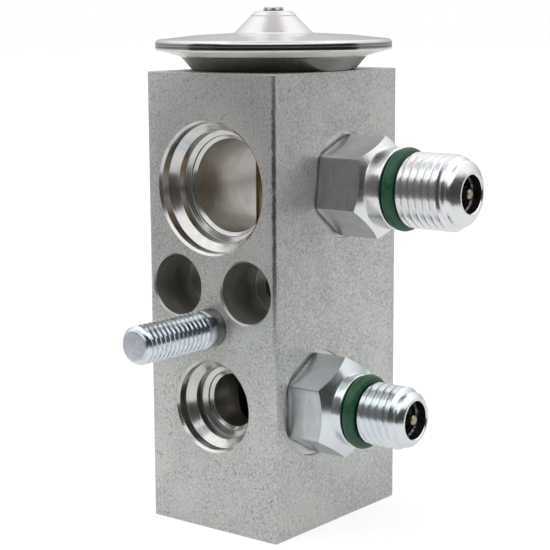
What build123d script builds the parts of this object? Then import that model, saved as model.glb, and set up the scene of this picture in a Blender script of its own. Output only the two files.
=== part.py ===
from build123d import *
from math import radians, sqrt, tan
import os

# Block-type thermostatic expansion valve, in millimetres.
# +Z is up, towards the power head. The origin is the centre of the block's underside.
# -Y is the line side with the mounting stud, +Y the evaporator side, and the two
# service ports point along +X.

# ---------------------------------------------------------------- driving dimensions
# Block
block_width = 25.5
block_depth = 32.3
block_height = 72.5
edge_break = 0.4

# Gas and liquid connections: every mouth is a stepped cavity for a sealed pipe spigot
suction_height = 54.75
suction_passage = 14.8
suction_seal_bore = 17.7
inlet_height = 20.15
outlet_height = 29.8
inlet_passage = 8.6
outlet_passage = 7.2
liquid_seal_bore = 11.6
bead_allowance = 2.6
lead_in_allowance = 1.8
mouth_chamfer = 0.35
ledge_allowance = 1.2
bead_depth = 1.7
lead_in_depth = 3.0
seal_bore_depth = 4.7
ledge_depth = 5.2
passage_chamfer = 0.3

# Pair of counterbored holes that clamp the block to the evaporator
bolt_height = 39.0
bolt_spacing = 13.9
bolt_hole = 5.8
bolt_head_bore = 9.6
bolt_head_depth = 8.5

# Mounting stud, M6
stud_height = 32.9
stud_diameter = 6.0
stud_reach = 17.6
stud_engagement = 8.0
stud_tip_chamfer = 0.7
stud_hole_spare = 0.6
stud_shank_diameter = 5.6
stud_shank_length = 2.0
stud_shank_inset = 1.0

# Service ports: two hexagon fittings screwed into spot faces on the +X side
spot_face_diameter = 16.9
spot_face_depth = 0.6
hexagon_flats = 14.0
hexagon_chamfer_angle = 30.0
shank_diameter = 9.0
shank_length = 3.5
shank_hole_spare = 0.3
port_drill = 3.2
port_drill_entry = 2.5
base_ring_cord = 1.2
nose_edge = 0.15

upper_port_y = 1.9
upper_port_height = 54.6
upper_hexagon_turn = -7.5
upper_hexagon_length = 7.6
upper_collar_diameter = 12.7
upper_collar_end = 11.35
upper_thread_diameter = 11.8
upper_thread_end = 21.4
upper_pilot_diameter = 10.2
upper_length = 24.0
upper_rim_diameter = 6.7
upper_ring_cord = 2.0
upper_ring_diameter = 13.0

lower_port_y = -5.65
lower_port_height = 20.7
lower_hexagon_turn = 0.0
lower_hexagon_length = 6.2
lower_collar_diameter = 11.3
lower_collar_end = 9.2
lower_thread_diameter = 9.7
lower_thread_end = 17.2
lower_pilot_diameter = 8.5
lower_length = 19.35
lower_rim_diameter = 6.8
lower_ring_cord = 1.9
lower_ring_diameter = 11.6

gland_clearance = 0.1
thread_chamfer = 0.6
pilot_length = 0.8

# Valve cores inside the service ports, measured inwards from the nose
core_mouth_bore = 5.8
core_mouth_depth = 1.6
core_thread_bore = 5.3
core_thread_depth = 6.2
core_barrel_bore = 4.4
core_barrel_depth = 15.2
core_head_top = 2.1
core_head_bottom = 5.2
core_bridge = 2.2
core_chamfer = 0.3
core_barrel_end = 11.6
core_barrel_diameter = 4.0
core_wall = 0.5
core_pin_diameter = 1.5
core_pin_inset = 0.3
core_pin_chamfer = 0.15
core_pin_collar = 2.7
core_pin_collar_top = 6.0
core_pin_collar_height = 0.5
core_seal_diameter = 3.7
core_seal_height = 1.3
core_spring_wire = 0.4
core_spring_turns = 4.5
core_gasket_height = 0.9

# Power head: two stainless pressings with a diaphragm welded between their rims
head_diameter = 37.8
head_sheet = 0.8
head_rim_bottom = 3.12
head_rim_flat = 1.9
diaphragm_thickness = 0.12
diaphragm_dish = 0.35
fold_margin = 0.4
cup_floor_diameter = 26.1
cup_shoulder_diameter = 29.8
cup_shoulder_height = 2.15
dome_rise = 0.95
dome_fullness = 0.72
cone_foot_diameter = 12.6
cone_top_diameter = 5.2
cone_height = 3.45
cone_top_round = 1.0
cone_foot_round = 0.9
cone_wall_shift = 0.16
cup_wall_lean = 0.44
plug_head_diameter = 3.3
plug_head_height = 0.65
plug_stem_diameter = 2.2
plug_edge = 0.15
plug_dimple_diameter = 2.0
plug_dimple_depth = 0.3
collar_diameter = 20.0
collar_bore = 16.8
collar_engagement = 5.2
head_ring_cord = 1.55
head_hole_depth = 6.0

# Control parts on the valve axis
rod_diameter = 6.0
rod_annulus = 1.0
disc_diameter = 21.0
disc_thickness = 1.5
disc_boss_diameter = 9.2
disc_boss_height = 2.0
disc_socket_depth = 2.5
disc_vent = 2.2
disc_vent_circle = 14.0
disc_vent_count = 4
rod_seal_cord = 1.79
seal_pocket_height = 40.0
seal_washer_thickness = 0.6
rod_travel_room = 1.07
pin_diameter = 2.4
pin_socket_depth = 2.5
orifice_diameter = 3.8
seat_chamfer = 0.7
chamber_diameter = 12.4
chamber_headroom = 0.15
ball_diameter = 6.0
carrier_hub_diameter = 6.8
carrier_flange_diameter = 9.2
carrier_flange_thickness = 1.5
carrier_stem_diameter = 4.0
carrier_stem_length = 2.4
carrier_cup_radius = 2.7
carrier_web = 0.8
spring_mean_diameter = 6.6
spring_wire = 1.1
spring_turns = 4.5

# Superheat adjusting screw in the underside
screw_thread_diameter = 14.0
screw_hole_depth = 7.2
screw_recess = 1.2
screw_thread_length = 5.0
screw_top = 9.6
screw_land_clearance = 0.08
screw_pilot_diameter = 4.0
screw_pilot_height = 1.4
screw_ring_cord = 1.35
screw_groove_width = 1.75
screw_groove_top_land = 0.5
hex_key_flats = 5.0
hex_key_depth = 3.5

# Clearances, and how far cutters run past the faces they cut
running_clearance = 0.05
thread_clearance = 0.04
contact_gap = 0.02
seat_gap = 0.06
overshoot = 1.0

# ------------------------------------------------------------------ derived places
front = -block_depth / 2
side = block_width / 2
foot = (Align.CENTER, Align.CENTER, Align.MIN)

orifice_bottom = inlet_height + inlet_passage / 2 + chamber_headroom
seat_top = orifice_bottom + seat_chamfer
ball_drop = ball_diameter / 2 * sqrt(2)
ball_height = seat_top + orifice_diameter / 2 - ball_drop - seat_gap * sqrt(2)
carrier_apex = ball_height - ball_drop - contact_gap
carrier_top = carrier_apex + carrier_cup_radius
carrier_flange_bottom = carrier_apex - carrier_web
head_floor = block_height + head_sheet
diaphragm_bottom = block_height + head_rim_bottom + head_sheet
diaphragm_top = diaphragm_bottom + diaphragm_thickness
dome_edge = diaphragm_top + head_sheet
disc_top = diaphragm_bottom - contact_gap
disc_bottom = disc_top - disc_thickness
guide_bore = rod_diameter + 2 * running_clearance
washer_bottom = seal_pocket_height + rod_seal_cord + 2 * contact_gap
washer_top = washer_bottom + seal_washer_thickness
rod_foot_height = washer_top + rod_travel_room


# ------------------------------------------------------------------------- helpers
def turned(*outline):
    """Solid of revolution about Z from a closed outline of (radius, height) points."""
    return revolve(Plane.XZ * make_face(Polyline(*outline, close=True)), Axis.Z)


def rod(diameter, bottom, top):
    """Upright cylinder between two heights."""
    return Pos(0, 0, bottom) * Cylinder(diameter / 2, top - bottom, align=foot)


def ring(inner_diameter, cord, height):
    """O-ring of round cord lying level with its centre at the given height."""
    return Pos(0, 0, height) * Torus((inner_diameter + cord) / 2, cord / 2)


def hexagon(flats, turn, bottom, top):
    """Hexagonal prism across the given flats, a corner on +Y before it is turned."""
    outline = RegularPolygon(flats / sqrt(3), 6, rotation=30 + turn)
    return Pos(0, 0, bottom) * extrude(outline, top - bottom)


def coil(mean_diameter, wire, turns, bottom, top):
    """Compression spring of round wire that just fits between two heights."""
    rise = top - bottom - wire
    path = Pos(0, 0, bottom + wire / 2) * Helix(rise / turns, rise, mean_diameter / 2)
    section = Plane(origin=path @ 0, z_dir=path % 0) * Circle(wire / 2)
    return sweep(section, path=path, is_frenet=True)


def from_front(height):
    """Plane on the line side whose normal points into the block."""
    return Plane(origin=(0, front, height), x_dir=(1, 0, 0), z_dir=(0, 1, 0))


def from_rear(height):
    """Plane on the evaporator side whose normal points into the block."""
    return Plane(origin=(0, -front, height), x_dir=(-1, 0, 0), z_dir=(0, -1, 0))


def out_of_side(y, height):
    """Plane on the service-port side whose normal points away from the block."""
    return Plane(origin=(side, y, height), x_dir=(0, 1, 0), z_dir=(1, 0, 0))


# --------------------------------------------------------------------------- block
def port_cavity(seal_bore, passage, passage_end):
    """Stepped cavity of a pipe connection, its mouth at Z = 0 and its passage above."""
    seal = seal_bore / 2
    bead = seal + bead_allowance / 2
    lead = seal + lead_in_allowance / 2
    bore = passage / 2
    ledge = bore + ledge_allowance / 2
    return turned(
        (0, -overshoot),
        (bead + mouth_chamfer + overshoot, -overshoot),
        (bead, mouth_chamfer),
        (bead, bead_depth),
        (lead, bead_depth),
        (seal, lead_in_depth),
        (seal, seal_bore_depth),
        (ledge, seal_bore_depth),
        (ledge, ledge_depth),
        (bore + passage_chamfer, ledge_depth),
        (bore, ledge_depth + passage_chamfer),
        (bore, passage_end),
        (0, passage_end),
    )


def bolt_cavity():
    """Through hole with a deep counterbore for the screw head."""
    head = bolt_head_bore / 2
    hole = bolt_hole / 2
    return turned(
        (0, -overshoot),
        (head + mouth_chamfer + overshoot, -overshoot),
        (head, mouth_chamfer),
        (head, bolt_head_depth),
        (hole, bolt_head_depth),
        (hole, block_depth + overshoot),
        (0, block_depth + overshoot),
    )


def fitting_cavity(depth_to_passage):
    """Spot face, threaded hole, seal chamfer and cross drilling of a service port."""
    shank = shank_diameter / 2 + thread_clearance
    seat = shank_diameter / 2 + base_ring_cord * (1 + sqrt(0.5)) + 4 * contact_gap
    hole_end = -spot_face_depth - shank_length - shank_hole_spare
    return turned(
        (0, overshoot),
        (spot_face_diameter / 2, overshoot),
        (spot_face_diameter / 2, -spot_face_depth),
        (seat, -spot_face_depth),
        (shank, -spot_face_depth - (seat - shank)),
        (shank, hole_end),
        (port_drill / 2, hole_end),
        (port_drill / 2, -depth_to_passage),
        (0, -depth_to_passage),
    )


def axis_cavity():
    """Everything bored along the valve axis, from the underside to the power head."""
    chamber = chamber_diameter / 2
    orifice = orifice_diameter / 2
    screw = screw_thread_diameter / 2
    pin = pin_diameter / 2 + running_clearance
    guide = guide_bore / 2
    clear = rod_diameter / 2 + rod_annulus
    head = collar_diameter / 2
    recess = head + head_ring_cord + contact_gap
    recess_bottom = block_height - head_ring_cord - contact_gap
    return turned(
        (0, -overshoot),
        (screw, -overshoot),
        (screw, screw_hole_depth),
        (chamber, screw_hole_depth + screw - chamber),
        (chamber, orifice_bottom),
        (orifice + seat_chamfer, orifice_bottom),
        (orifice, seat_top),
        (orifice, outlet_height),
        (pin, outlet_height),
        (pin, seal_pocket_height),
        (guide, seal_pocket_height),
        (guide, suction_height),
        (clear, suction_height),
        (clear, block_height - head_hole_depth),
        (head, block_height - head_hole_depth),
        (head, recess_bottom),
        (recess, recess_bottom),
        (recess, block_height + overshoot),
        (0, block_height + overshoot),
    )


def valve_block():
    """Extruded bar with its passages, seats, screw holes and spot faces cut in."""
    blank = Box(block_width, block_depth, block_height, align=foot)
    blank = chamfer(blank.edges().filter_by(Axis.Z), edge_break)
    blank = chamfer(blank.faces().filter_by(Axis.Z).edges(), edge_break / 2)
    suction = port_cavity(suction_seal_bore, suction_passage, block_depth / 2 + overshoot)
    inlet = port_cavity(liquid_seal_bore, inlet_passage, block_depth / 2)
    outlet_end = block_depth / 2 + orifice_diameter / 2 + overshoot
    outlet = port_cavity(liquid_seal_bore, outlet_passage, outlet_end)
    blank -= axis_cavity()
    blank -= from_front(suction_height) * suction
    blank -= from_rear(suction_height) * suction
    blank -= from_front(inlet_height) * inlet
    blank -= from_rear(outlet_height) * outlet
    for offset in (-bolt_spacing / 2, bolt_spacing / 2):
        blank -= Pos(offset, 0, 0) * (from_front(bolt_height) * bolt_cavity())
    stud_depth = stud_engagement + stud_hole_spare
    stud_bore = stud_diameter / 2 + thread_clearance
    stud_hole = rod(2 * stud_bore, -overshoot, stud_depth)
    blank -= from_front(stud_height) * stud_hole
    upper = fitting_cavity(side - suction_passage / 2 + port_drill_entry)
    lower = fitting_cavity(side - inlet_passage / 2 + port_drill_entry)
    blank -= out_of_side(upper_port_y, upper_port_height) * upper
    blank -= out_of_side(lower_port_y, lower_port_height) * lower
    return blank


def mounting_stud():
    """Stud with threads at both ends of a short plain shank, seated in the line side."""
    radius = stud_diameter / 2
    shank = stud_shank_diameter / 2
    tip = radius - stud_tip_chamfer
    return from_front(stud_height) * turned(
        (0, -stud_reach),
        (tip, -stud_reach),
        (radius, -stud_reach + stud_tip_chamfer),
        (radius, -stud_shank_length - radius + shank),
        (shank, -stud_shank_length),
        (shank, stud_shank_inset),
        (radius, stud_shank_inset + radius - shank),
        (radius, stud_engagement - stud_tip_chamfer),
        (tip, stud_engagement),
        (0, stud_engagement),
    )


# ---------------------------------------------------------------------- power head
def cup_outer_outline():
    """Underside of the lower pressing, from the collar hole out to the rim."""
    floor = block_height
    return [
        (collar_diameter / 2 + contact_gap, floor),
        (cup_floor_diameter / 2, floor),
        (cup_shoulder_diameter / 2, floor + cup_shoulder_height),
        (head_diameter / 2 - head_sheet, floor + head_rim_bottom),
        (head_diameter / 2, floor + head_rim_bottom + head_sheet / 2),
    ]


def head_cup():
    """Lower pressing: flat floor on the block, flared wall and a raised rim."""
    rim = head_diameter / 2
    outline = cup_outer_outline() + [
        (rim, diaphragm_bottom),
        (rim - head_rim_flat, diaphragm_bottom),
        (cup_shoulder_diameter / 2 - cup_wall_lean, block_height + cup_shoulder_height + head_sheet),
        (cup_floor_diameter / 2 - cup_wall_lean, head_floor),
        (collar_diameter / 2 + contact_gap, head_floor),
    ]
    return turned(*outline)


def head_cap():
    """Upper pressing: low dome, central cone and a hole for the charge plug."""
    rim = head_diameter / 2
    foot_height = dome_edge + dome_rise
    cone_top = foot_height + cone_height
    foot_radius = cone_foot_diameter / 2
    top_radius = cone_top_diameter / 2
    hole = plug_stem_diameter / 2 + contact_gap
    dome_middle = (rim + foot_radius) / 2
    dome_middle_height = dome_edge + dome_fullness * dome_rise
    flank = head_sheet * sqrt((foot_radius - top_radius) ** 2 + cone_height**2) / cone_height
    inner_foot = (foot_radius - flank, foot_height - cone_wall_shift)
    outer = Polyline(
        (rim, diaphragm_top),
        (rim, diaphragm_top + head_sheet / 2),
        (rim - head_sheet / 2, dome_edge),
    )
    dome = ThreePointArc(
        (rim - head_sheet / 2, dome_edge),
        (dome_middle, dome_middle_height),
        (foot_radius, foot_height),
    )
    cone = Polyline(
        (foot_radius, foot_height),
        (top_radius, cone_top),
        (hole, cone_top),
        (hole, cone_top - head_sheet),
        (top_radius - flank + cone_wall_shift, cone_top - head_sheet),
        inner_foot,
    )
    inside = ThreePointArc(
        inner_foot,
        (dome_middle, dome_middle_height - head_sheet),
        (rim - head_rim_flat, diaphragm_top),
    )
    base = Line((rim - head_rim_flat, diaphragm_top), (rim, diaphragm_top))
    face = make_face([outer, dome, cone, inside, base])
    top_corner = face.vertices().sort_by_distance((top_radius, cone_top))[0]
    face = fillet(top_corner, cone_top_round)
    foot_corner = face.vertices().sort_by_distance((foot_radius, foot_height))[0]
    face = fillet(foot_corner, cone_foot_round)
    return revolve(Plane.XZ * face, Axis.Z)


def head_ring():
    """Ring that seals the head, in a recess round the collar under the cup."""
    return ring(collar_diameter, head_ring_cord, block_height - head_ring_cord / 2 - contact_gap)


def head_collar():
    """Threaded neck brazed through the floor of the cup."""
    outer = collar_diameter / 2 - thread_clearance
    bore = collar_bore / 2
    bottom = block_height - collar_engagement
    return turned(
        (bore, bottom),
        (outer - thread_chamfer, bottom),
        (outer, bottom + thread_chamfer),
        (outer, head_floor),
        (bore, head_floor),
    )


def diaphragm():
    """Thin disc with one shallow annular fold between its rim and the thrust disc."""
    rim = head_diameter / 2 - contact_gap
    fold_out = rim - head_rim_flat - fold_margin
    fold_in = disc_diameter / 2 + fold_margin
    middle = (fold_out + fold_in) / 2
    low = diaphragm_bottom
    high = low + diaphragm_thickness
    return turned(
        (0, low),
        (fold_in, low),
        (middle, low + diaphragm_dish),
        (fold_out, low),
        (rim, low),
        (rim, high),
        (fold_out, high),
        (middle, high + diaphragm_dish),
        (fold_in, high),
        (0, high),
    )


def charge_plug():
    """Plug that closes the filling hole at the top of the head."""
    cone_top = dome_edge + dome_rise + cone_height
    stem = plug_stem_diameter / 2
    head = plug_head_diameter / 2
    crown = cone_top + plug_head_height
    return turned(
        (0, cone_top - head_sheet),
        (stem, cone_top - head_sheet),
        (stem, cone_top),
        (head, cone_top),
        (head, crown - plug_edge),
        (head - plug_edge, crown),
        (plug_dimple_diameter / 2, crown),
        (0, crown - plug_dimple_depth),
    )


# ------------------------------------------------------------- parts on the valve axis
def thrust_disc():
    """Disc under the diaphragm, with a socket for the sensing rod and vent holes."""
    boss = disc_boss_diameter / 2
    socket = rod_diameter / 2 + contact_gap
    boss_bottom = disc_bottom - disc_boss_height
    disc = turned(
        (0, disc_top),
        (disc_diameter / 2, disc_top),
        (disc_diameter / 2, disc_bottom),
        (boss, disc_bottom),
        (boss, boss_bottom),
        (socket, boss_bottom),
        (socket, boss_bottom + disc_socket_depth),
        (0, boss_bottom + disc_socket_depth),
    )
    vents = PolarLocations(disc_vent_circle / 2, disc_vent_count, start_angle=45)
    return disc - vents * rod(disc_vent, disc_bottom - overshoot, disc_top + overshoot)


def sensing_rod():
    """Rod that crosses the suction passage and carries the disc's thrust down."""
    radius = rod_diameter / 2
    top = disc_bottom - disc_boss_height + disc_socket_depth - contact_gap
    socket = pin_diameter / 2 + contact_gap
    return turned(
        (socket, rod_foot_height),
        (radius - edge_break, rod_foot_height),
        (radius, rod_foot_height + edge_break),
        (radius, top),
        (0, top),
        (0, rod_foot_height + pin_socket_depth),
        (socket, rod_foot_height + pin_socket_depth),
    )


def push_pin():
    """Pin from the sensing rod down through the orifice to the ball."""
    bottom = ball_height + ball_diameter / 2 + contact_gap
    top = rod_foot_height + pin_socket_depth - contact_gap
    return rod(pin_diameter, bottom, top)


def rod_seal():
    """Ring round the push pin, between the suction and the liquid side."""
    height = seal_pocket_height + rod_seal_cord / 2 + contact_gap
    inner = guide_bore - 2 * contact_gap - 2 * rod_seal_cord
    return ring(inner, rod_seal_cord, height)


def seal_washer():
    """Washer that keeps the pin seal down in its pocket."""
    bore = pin_diameter / 2 + 2 * running_clearance
    outer = guide_bore / 2 - contact_gap
    return turned(
        (bore, washer_bottom),
        (outer, washer_bottom),
        (outer, washer_top),
        (bore, washer_top),
    )


def valve_ball():
    """Ball that throttles the orifice from below."""
    return Pos(0, 0, ball_height) * Sphere(ball_diameter / 2)


def ball_carrier():
    """Spring seat that cradles the ball in a cone and guides the spring on a stem."""
    hub = carrier_hub_diameter / 2
    flange = carrier_flange_diameter / 2
    stem = carrier_stem_diameter / 2
    flange_top = carrier_flange_bottom + carrier_flange_thickness
    return turned(
        (0, carrier_flange_bottom - carrier_stem_length),
        (stem - edge_break, carrier_flange_bottom - carrier_stem_length),
        (stem, carrier_flange_bottom - carrier_stem_length + edge_break),
        (stem, carrier_flange_bottom),
        (flange, carrier_flange_bottom),
        (flange, flange_top),
        (hub, flange_top),
        (hub, carrier_top),
        (carrier_cup_radius, carrier_top),
        (0, carrier_apex),
    )


def main_spring():
    """Superheat spring between the adjusting screw and the ball carrier."""
    bottom = screw_top + contact_gap
    top = carrier_flange_bottom - contact_gap
    return coil(spring_mean_diameter, spring_wire, spring_turns, bottom, top)


def adjusting_screw():
    """Screw with a hexagon socket below, a seal groove and a spring pilot on top."""
    thread = screw_thread_diameter / 2 - thread_clearance
    land = chamber_diameter / 2 - screw_land_clearance
    ring_inner = chamber_diameter / 2 - running_clearance - screw_ring_cord
    groove = ring_inner - running_clearance
    groove_top = screw_top - screw_groove_top_land
    groove_bottom = groove_top - screw_groove_width
    thread_top = screw_recess + screw_thread_length
    pilot = screw_pilot_diameter / 2
    screw = turned(
        (0, screw_recess),
        (thread - thread_chamfer, screw_recess),
        (thread, screw_recess + thread_chamfer),
        (thread, thread_top - thread_chamfer),
        (thread - thread_chamfer, thread_top),
        (land, thread_top),
        (land, groove_bottom),
        (groove, groove_bottom),
        (groove, groove_top),
        (land, groove_top),
        (land, screw_top),
        (pilot, screw_top),
        (pilot, screw_top + screw_pilot_height - edge_break),
        (pilot - edge_break, screw_top + screw_pilot_height),
        (0, screw_top + screw_pilot_height),
    )
    socket_top = screw_recess + hex_key_depth
    return screw - hexagon(hex_key_flats, 0, screw_recess - overshoot, socket_top)


def adjuster_seal():
    """Ring in the groove of the adjusting screw."""
    inner = chamber_diameter - 2 * running_clearance - 2 * screw_ring_cord
    height = screw_top - screw_groove_top_land - screw_groove_width / 2
    return ring(inner, screw_ring_cord, height)


# ------------------------------------------------------------------- service ports
def port_body(sizes, turn):
    """Hexagon fitting with a collar, a ring gland, a thread and a coned nose."""
    corner = hexagon_flats / sqrt(3)
    slope = tan(radians(hexagon_chamfer_angle))
    back = -spot_face_depth
    shank = shank_diameter / 2
    collar = sizes["collar"] / 2
    thread = sizes["thread"] / 2
    gland = sizes["ring"] / 2 - sizes["cord"] - contact_gap
    pilot = sizes["pilot"] / 2
    rim = sizes["rim"] / 2
    nose = sizes["length"] - spot_face_depth
    collar_end = sizes["collar_end"] - spot_face_depth
    gland_end = collar_end + sizes["cord"] + 2 * gland_clearance
    flat_end = sizes["hexagon"]
    corner_end = flat_end - (corner - hexagon_flats / 2) * slope
    cone_end = flat_end + (hexagon_flats / 2 - collar) * slope
    fade_end = sizes["thread_end"] - spot_face_depth + thread - pilot
    mouth = core_mouth_bore / 2
    seat = core_thread_bore / 2
    barrel = core_barrel_bore / 2
    drill = port_drill / 2
    blank = turned(
        (drill, back - shank_length),
        (shank - thread_chamfer, back - shank_length),
        (shank, back - shank_length + thread_chamfer),
        (shank, back),
        (corner, back),
        (corner, corner_end),
        (collar, cone_end),
        (collar, collar_end - nose_edge),
        (collar - nose_edge, collar_end),
        (gland, collar_end),
        (gland, gland_end),
        (thread - thread_chamfer, gland_end),
        (thread, gland_end + thread_chamfer),
        (thread, sizes["thread_end"] - spot_face_depth),
        (pilot, fade_end),
        (pilot, fade_end + pilot_length),
        (rim, nose),
        (mouth + nose_edge, nose),
        (mouth, nose - nose_edge),
        (mouth, nose - core_mouth_depth),
        (seat, nose - core_mouth_depth - mouth + seat),
        (seat, nose - core_thread_depth),
        (barrel, nose - core_thread_depth - seat + barrel),
        (barrel, nose - core_barrel_depth),
        (drill, nose - core_barrel_depth - barrel + drill),
    )
    keep = hexagon(hexagon_flats, turn, back - overshoot, cone_end)
    keep += rod(hexagon_flats, back - shank_length - overshoot, nose + overshoot)
    return blank & keep


def port_ring(sizes):
    """Ring in the gland behind the thread."""
    height = sizes["collar_end"] - spot_face_depth + sizes["cord"] / 2 + gland_clearance
    return ring(sizes["ring"] - 2 * sizes["cord"], sizes["cord"], height)


def base_ring():
    """Ring between the hexagon, the shank and the chamfer in the block."""
    height = -spot_face_depth - base_ring_cord / 2 - contact_gap
    return ring(shank_diameter + 2 * contact_gap, base_ring_cord, height)


def core_shell(nose):
    """Threaded head bridged across its mouth, above a barrel for the spring."""
    head = core_thread_bore / 2 - thread_clearance
    barrel = core_barrel_diameter / 2
    guide = core_pin_diameter / 2 + running_clearance
    bore = barrel - core_wall
    head_bottom = nose - core_head_bottom
    end = nose - core_barrel_end
    shell = turned(
        (guide, nose - core_head_top),
        (head - core_chamfer, nose - core_head_top),
        (head, nose - core_head_top - core_chamfer),
        (head, head_bottom),
        (barrel, head_bottom),
        (barrel, end),
        (guide, end),
        (guide, end + core_wall),
        (bore, end + core_wall),
        (bore, head_bottom),
        (guide, head_bottom),
    )
    window_depth = core_head_bottom - core_head_top - core_wall
    window = rod(2 * head - 2 * core_wall, nose - core_head_top - window_depth, nose)
    bridge = Pos(0, 0, nose) * Box(2 * head, core_bridge, 2 * core_head_bottom)
    return shell - (window - bridge)


def core_pin(nose):
    """Pin with a collar that the core's spring pushes outwards."""
    radius = core_pin_diameter / 2
    collar = core_pin_collar / 2
    tip = nose - core_pin_inset
    collar_top = nose - core_pin_collar_top
    bottom = nose - core_barrel_end - core_seal_height - contact_gap
    return turned(
        (0, tip),
        (radius - core_pin_chamfer, tip),
        (radius, tip - core_pin_chamfer),
        (radius, collar_top),
        (collar, collar_top),
        (collar, collar_top - core_pin_collar_height),
        (radius, collar_top - core_pin_collar_height),
        (radius, bottom),
        (0, bottom),
    )


def core_seal(nose):
    """Seat seal on the inner end of the pin, closing the barrel."""
    bore = core_pin_diameter / 2 + contact_gap
    outer = core_seal_diameter / 2
    top = nose - core_barrel_end - running_clearance
    bottom = top - core_seal_height
    return turned(
        (bore, bottom),
        (outer - core_chamfer, bottom),
        (outer, bottom + core_chamfer),
        (outer, top),
        (bore, top),
    )


def core_spring(nose):
    """Spring inside the core's barrel, under the pin's collar."""
    mean = core_pin_collar - core_spring_wire - 2 * contact_gap
    top = nose - core_pin_collar_top - core_pin_collar_height - contact_gap
    bottom = nose - core_barrel_end + core_wall + contact_gap
    return coil(mean, core_spring_wire, core_spring_turns, bottom, top)


def core_gasket(nose):
    """Ring under the core's head that seals it in the fitting."""
    bore = core_barrel_diameter / 2 + contact_gap
    outer = core_thread_bore / 2 - 2 * contact_gap
    top = nose - core_head_bottom - contact_gap
    bottom = top - core_gasket_height
    return turned((bore, bottom), (outer, bottom), (outer, top), (bore, top))


upper_sizes = {
    "hexagon": upper_hexagon_length,
    "collar": upper_collar_diameter,
    "collar_end": upper_collar_end,
    "thread": upper_thread_diameter,
    "thread_end": upper_thread_end,
    "pilot": upper_pilot_diameter,
    "length": upper_length,
    "rim": upper_rim_diameter,
    "ring": upper_ring_diameter,
    "cord": upper_ring_cord,
}
lower_sizes = {
    "hexagon": lower_hexagon_length,
    "collar": lower_collar_diameter,
    "collar_end": lower_collar_end,
    "thread": lower_thread_diameter,
    "thread_end": lower_thread_end,
    "pilot": lower_pilot_diameter,
    "length": lower_length,
    "rim": lower_rim_diameter,
    "ring": lower_ring_diameter,
    "cord": lower_ring_cord,
}


def service_port(name, sizes, turn, y, height):
    """Every piece of one service port, placed on the side of the block."""
    nose = sizes["length"] - spot_face_depth
    pieces = {
        "port_body": port_body(sizes, turn),
        "port_ring": port_ring(sizes),
        "base_ring": base_ring(),
        "core_shell": core_shell(nose),
        "core_pin": core_pin(nose),
        "core_seal": core_seal(nose),
        "core_spring": core_spring(nose),
        "core_gasket": core_gasket(nose),
    }
    place = out_of_side(y, height)
    return {f"{name}_{piece}": place * solid for piece, solid in pieces.items()}


# -------------------------------------------------------------------------- output
nodes = {
    "valve_block": valve_block(),
    "mounting_stud": mounting_stud(),
    "head_cap": head_cap(),
    "head_cup": head_cup(),
    "head_collar": head_collar(),
    "head_ring": head_ring(),
    "diaphragm": diaphragm(),
    "charge_plug": charge_plug(),
    "thrust_disc": thrust_disc(),
    "sensing_rod": sensing_rod(),
    "push_pin": push_pin(),
    "rod_seal": rod_seal(),
    "seal_washer": seal_washer(),
    "valve_ball": valve_ball(),
    "ball_carrier": ball_carrier(),
    "main_spring": main_spring(),
    "adjusting_screw": adjusting_screw(),
    "adjuster_seal": adjuster_seal(),
}
nodes |= service_port("upper", upper_sizes, upper_hexagon_turn, upper_port_y, upper_port_height)
nodes |= service_port("lower", lower_sizes, lower_hexagon_turn, lower_port_y, lower_port_height)

os.makedirs("parts", exist_ok=True)
for name, solid in nodes.items():
    export_step(solid, f"parts/{name}.step")
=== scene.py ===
"""Finished look of a block-type thermostatic expansion valve, laid over its solid model.

Every piece is built in millimetres about its own axis and set in its place on the valve.
"""
from math import atan2, cos, pi, radians, sin, sqrt, tan

import bmesh
import bpy
from bpy.props import FloatProperty, FloatVectorProperty, PointerProperty
from bpy.types import Operator, Panel, PropertyGroup
from mathutils import Matrix, Vector


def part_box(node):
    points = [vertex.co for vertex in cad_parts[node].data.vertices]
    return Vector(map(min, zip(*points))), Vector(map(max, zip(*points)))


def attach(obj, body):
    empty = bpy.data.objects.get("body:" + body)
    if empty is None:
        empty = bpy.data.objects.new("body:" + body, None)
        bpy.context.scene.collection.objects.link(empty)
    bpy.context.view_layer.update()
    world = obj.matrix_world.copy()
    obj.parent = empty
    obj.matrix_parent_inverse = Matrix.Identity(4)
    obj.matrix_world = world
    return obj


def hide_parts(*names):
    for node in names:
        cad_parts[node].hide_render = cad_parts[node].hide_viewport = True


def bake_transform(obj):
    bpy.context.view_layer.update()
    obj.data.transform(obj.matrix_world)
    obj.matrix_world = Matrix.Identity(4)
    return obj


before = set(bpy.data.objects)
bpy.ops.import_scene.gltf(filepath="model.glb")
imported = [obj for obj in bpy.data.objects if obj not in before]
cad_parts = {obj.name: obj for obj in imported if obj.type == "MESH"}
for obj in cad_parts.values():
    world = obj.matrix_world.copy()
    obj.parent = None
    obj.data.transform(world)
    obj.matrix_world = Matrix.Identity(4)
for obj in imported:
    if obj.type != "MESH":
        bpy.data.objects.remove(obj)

bl_info = {
    "name": "Expansion valve",
    "version": (1, 0, 0),
    "blender": (4, 5, 0),
    "location": "View3D > Sidebar > Valve",
    "description": "Builds the surfaces, finishes and stage of a block expansion valve",
    "category": "Object",
}

MM = 0.001
ROUND_STEPS = 96
FINE_STEPS = 48
COIL_STEPS = 40
WIRE_STEPS = 14
ARC_STEPS = 4
DISC_STEPS = 64
WELD = 1e-7
SLIVER = 1e-6
SHARP_ANGLE = radians(28)


def box(node):
    """Lowest and highest corners of a node's box in millimetres."""
    low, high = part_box(node)
    return low / MM, high / MM


BLOCK_LOW, BLOCK_HIGH = box("valve_block")
FRONT = BLOCK_LOW.y
SIDE = BLOCK_HIGH.x
TOP = BLOCK_HIGH.z
DEPTH = BLOCK_HIGH.y - BLOCK_LOW.y


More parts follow.
